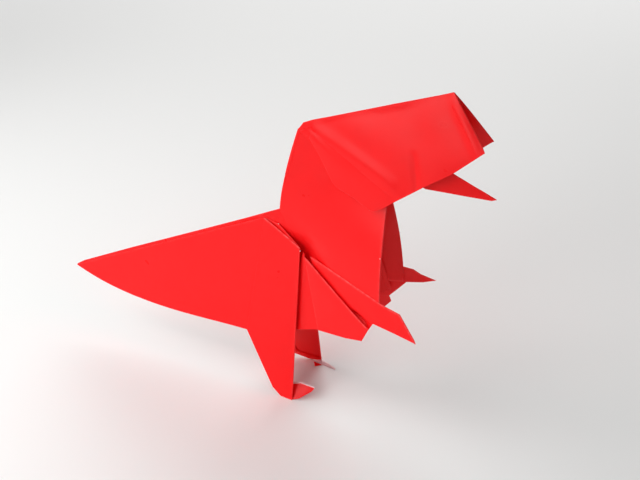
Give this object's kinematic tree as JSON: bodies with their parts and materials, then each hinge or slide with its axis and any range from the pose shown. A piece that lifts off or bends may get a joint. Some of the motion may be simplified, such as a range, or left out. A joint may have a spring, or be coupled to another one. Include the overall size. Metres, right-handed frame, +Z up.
{
  "type": "origami tyrannosaurus",
  "caption": "Folded red paper tyrannosaurus standing on its hind feet, with a tented tail, pleated hips, pointed arms, an open chest and a big hooded head with a thin jaw.",
  "frame": {"origin": "centre of the bounding box, on the surface that the feet stand on", "axes": "+X forward from tail to head, +Y to the animal's left, +Z up"},
  "size_m": [0.1652, 0.0312, 0.1271],
  "materials": {
    "red_paper": "smooth matt folding paper, red on the outside and white on the back, with crisp folded edges"
  },
  "bodies": {
    "root": {"folded_sheet": "red_paper"}
  },
  "joints": []
}
